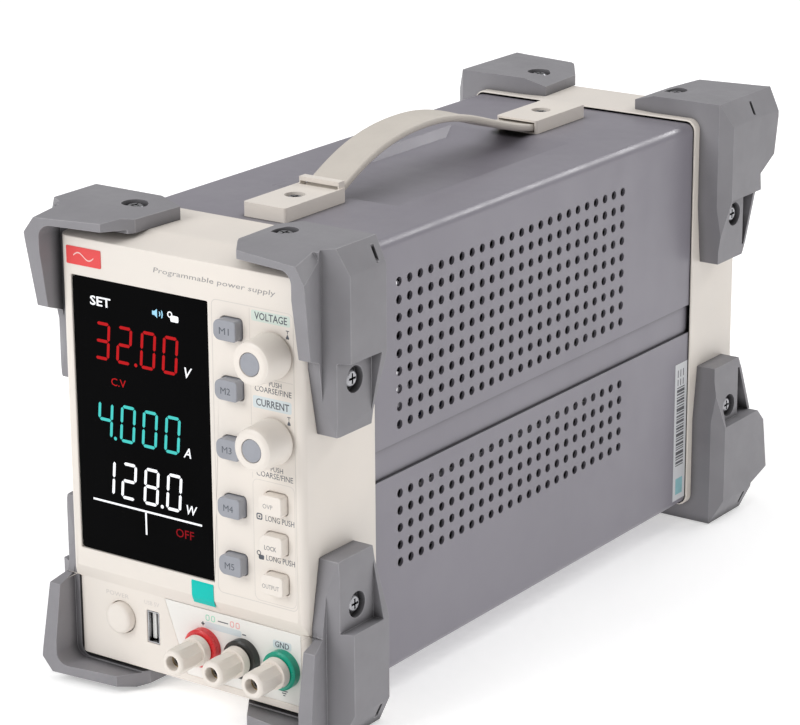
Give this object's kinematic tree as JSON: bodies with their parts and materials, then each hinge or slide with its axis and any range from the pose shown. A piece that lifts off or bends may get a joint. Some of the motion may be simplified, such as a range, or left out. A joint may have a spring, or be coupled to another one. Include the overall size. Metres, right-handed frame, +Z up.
{
  "type": "bench power supply",
  "caption": "Portable bench power supply with a perforated steel case, corner bumpers, strap handle, display, keys, push-turn knobs and screw-cap binding posts.",
  "frame": {"origin": "centre of the object's box, on the bench under the lower bumpers", "axes": "+X to the operator's right, +Y from the front panel to the back, +Z up"},
  "size_m": [0.144, 0.3546, 0.2064],
  "materials": {
    "cover_paint": "satin powder coat",
    "cream_plastic": "fine texture",
    "bumper_plastic": "smooth matt elastomer",
    "screw_steel": "zinc plated",
    "strap_rubber": "matt",
    "panel_glass": "gloss, printed black behind",
    "dark_plastic": "moulded",
    "inlay_plastic": "smooth",
    "key_grey": "satin",
    "board_green": "solder resist",
    "bright_steel": "bright",
    "panel_paint": "satin",
    "post_red": "moulded",
    "post_black": "moulded",
    "post_green": "moulded",
    "brass": "turned",
    "nickel": "nickel plated brass",
    "core_steel": "varnished windings and core",
    "sink_aluminium": "anodised",
    "can_sleeve": "shrink sleeve"
  },
  "bodies": {
    "case": {"top_cover": "cover_paint", "lower_chassis": "cover_paint", "front_bezel": "cream_plastic", "rear_frame": "cream_plastic", "rear_panel": "panel_paint", "case_screws": "screw_steel", "handle_cap_front": "cream_plastic", "handle_cap_rear": "cream_plastic", "display_glass": "panel_glass", "display_module": "dark_plastic", "terminal_inlay": "inlay_plastic", "front_board": "board_green", "key_switches": "dark_plastic", "encoder_housings": "dark_plastic", "power_switch": "dark_plastic", "usb_socket": "bright_steel", "post_collar_red": "post_red", "post_collar_black": "post_black", "post_collar_green": "post_green", "post_studs": "nickel", "post_nuts": "brass", "main_board": "board_green", "transformer": "core_steel", "heat_sink": "sink_aluminium", "capacitors": "can_sleeve", "inlet_socket": "dark_plastic", "fan_frame": "dark_plastic", "bumper_front_top_right": "bumper_plastic", "bumper_front_top_left": "bumper_plastic", "bumper_front_bottom_right": "bumper_plastic", "bumper_front_bottom_left": "bumper_plastic", "bumper_rear_top_right": "bumper_plastic", "bumper_rear_top_left": "bumper_plastic", "bumper_rear_bottom_right": "bumper_plastic", "bumper_rear_bottom_left": "bumper_plastic"},
    "strap": {"handle_strap": "strap_rubber"},
    "memory_key_1": {"memory_key_1": "key_grey"},
    "memory_key_2": {"memory_key_2": "key_grey"},
    "memory_key_3": {"memory_key_3": "key_grey"},
    "memory_key_4": {"memory_key_4": "key_grey"},
    "memory_key_5": {"memory_key_5": "key_grey"},
    "protection_key": {"protection_key": "cream_plastic"},
    "lock_key": {"lock_key": "cream_plastic"},
    "output_key": {"output_key": "cream_plastic"},
    "voltage_plunger": {"voltage_plunger": "dark_plastic"},
    "voltage_knob": {"voltage_knob": "cream_plastic", "voltage_knob_disc": "key_grey", "voltage_shaft": "bright_steel"},
    "current_plunger": {"current_plunger": "dark_plastic"},
    "current_knob": {"current_knob": "cream_plastic", "current_knob_disc": "key_grey", "current_shaft": "bright_steel"},
    "power_button": {"power_button": "cream_plastic"},
    "post_insert_red": {"post_insert_red": "brass"},
    "post_cap_red": {"post_cap_red": "cream_plastic"},
    "post_insert_black": {"post_insert_black": "brass"},
    "post_cap_black": {"post_cap_black": "cream_plastic"},
    "post_insert_green": {"post_insert_green": "brass"},
    "post_cap_green": {"post_cap_green": "cream_plastic"},
    "fan_impeller": {"fan_impeller": "dark_plastic"}
  },
  "joints": [
    {"name": "strap_press", "type": "slide", "parent": "case", "child": "strap", "axis": [0, 0, -1], "range_m": [0, 0.01], "stiffness_N_per_m": 400, "deforming": ["handle_strap"]},
    {"name": "memory_key_1_press", "type": "slide", "parent": "case", "child": "memory_key_1", "axis": [0, 1, 0], "range_m": [0, 0.0008], "stiffness_N_per_m": 1500},
    {"name": "memory_key_2_press", "type": "slide", "parent": "case", "child": "memory_key_2", "axis": [0, 1, 0], "range_m": [0, 0.0008], "stiffness_N_per_m": 1500},
    {"name": "memory_key_3_press", "type": "slide", "parent": "case", "child": "memory_key_3", "axis": [0, 1, 0], "range_m": [0, 0.0008], "stiffness_N_per_m": 1500},
    {"name": "memory_key_4_press", "type": "slide", "parent": "case", "child": "memory_key_4", "axis": [0, 1, 0], "range_m": [0, 0.0008], "stiffness_N_per_m": 1500},
    {"name": "memory_key_5_press", "type": "slide", "parent": "case", "child": "memory_key_5", "axis": [0, 1, 0], "range_m": [0, 0.0008], "stiffness_N_per_m": 1500},
    {"name": "protection_key_press", "type": "slide", "parent": "case", "child": "protection_key", "axis": [0, 1, 0], "range_m": [0, 0.0008], "stiffness_N_per_m": 1500},
    {"name": "lock_key_press", "type": "slide", "parent": "case", "child": "lock_key", "axis": [0, 1, 0], "range_m": [0, 0.0008], "stiffness_N_per_m": 1500},
    {"name": "output_key_press", "type": "slide", "parent": "case", "child": "output_key", "axis": [0, 1, 0], "range_m": [0, 0.0008], "stiffness_N_per_m": 1500},
    {"name": "voltage_push", "type": "slide", "parent": "case", "child": "voltage_plunger", "axis": [0, 1, 0], "range_m": [0, 0.0005], "stiffness_N_per_m": 4000},
    {"name": "voltage_turn", "type": "hinge", "parent": "voltage_plunger", "child": "voltage_knob", "pos_m": [0.0453, -0.1655, 0.1525], "axis": [0, -1, 0], "continuous": true},
    {"name": "current_push", "type": "slide", "parent": "case", "child": "current_plunger", "axis": [0, 1, 0], "range_m": [0, 0.0005], "stiffness_N_per_m": 4000},
    {"name": "current_turn", "type": "hinge", "parent": "current_plunger", "child": "current_knob", "pos_m": [0.0453, -0.1655, 0.1193], "axis": [0, -1, 0], "continuous": true},
    {"name": "power_press", "type": "slide", "parent": "case", "child": "power_button", "axis": [0, 1, 0], "range_m": [0, 0.002], "stiffness_N_per_m": 800},
    {"name": "post_red_lift", "type": "slide", "parent": "case", "child": "post_insert_red", "axis": [0, -1, 0], "range_m": [0, 0.00337]},
    {"name": "post_red_turn", "type": "hinge", "parent": "post_insert_red", "child": "post_cap_red", "pos_m": [0.00695, -0.1715, 0.0268], "axis": [0, -1, 0], "range_deg": [0, 1620]},
    {"name": "post_black_lift", "type": "slide", "parent": "case", "child": "post_insert_black", "axis": [0, -1, 0], "range_m": [0, 0.00337]},
    {"name": "post_black_turn", "type": "hinge", "parent": "post_insert_black", "child": "post_cap_black", "pos_m": [0.026, -0.1715, 0.0268], "axis": [0, -1, 0], "range_deg": [0, 1620]},
    {"name": "post_green_lift", "type": "slide", "parent": "case", "child": "post_insert_green", "axis": [0, -1, 0], "range_m": [0, 0.00337]},
    {"name": "post_green_turn", "type": "hinge", "parent": "post_insert_green", "child": "post_cap_green", "pos_m": [0.04505, -0.1715, 0.0268], "axis": [0, -1, 0], "range_deg": [0, 1620]},
    {"name": "fan_spin", "type": "hinge", "parent": "case", "child": "fan_impeller", "pos_m": [0, 0.1495, 0.117], "axis": [0, 1, 0], "continuous": true}
  ],
  "couplings": [
    {"joint": "post_red_turn", "follows": "post_red_lift", "rad_per_m": 8377.3},
    {"joint": "post_black_turn", "follows": "post_black_lift", "rad_per_m": 8377.3},
    {"joint": "post_green_turn", "follows": "post_green_lift", "rad_per_m": 8377.3}
  ]
}
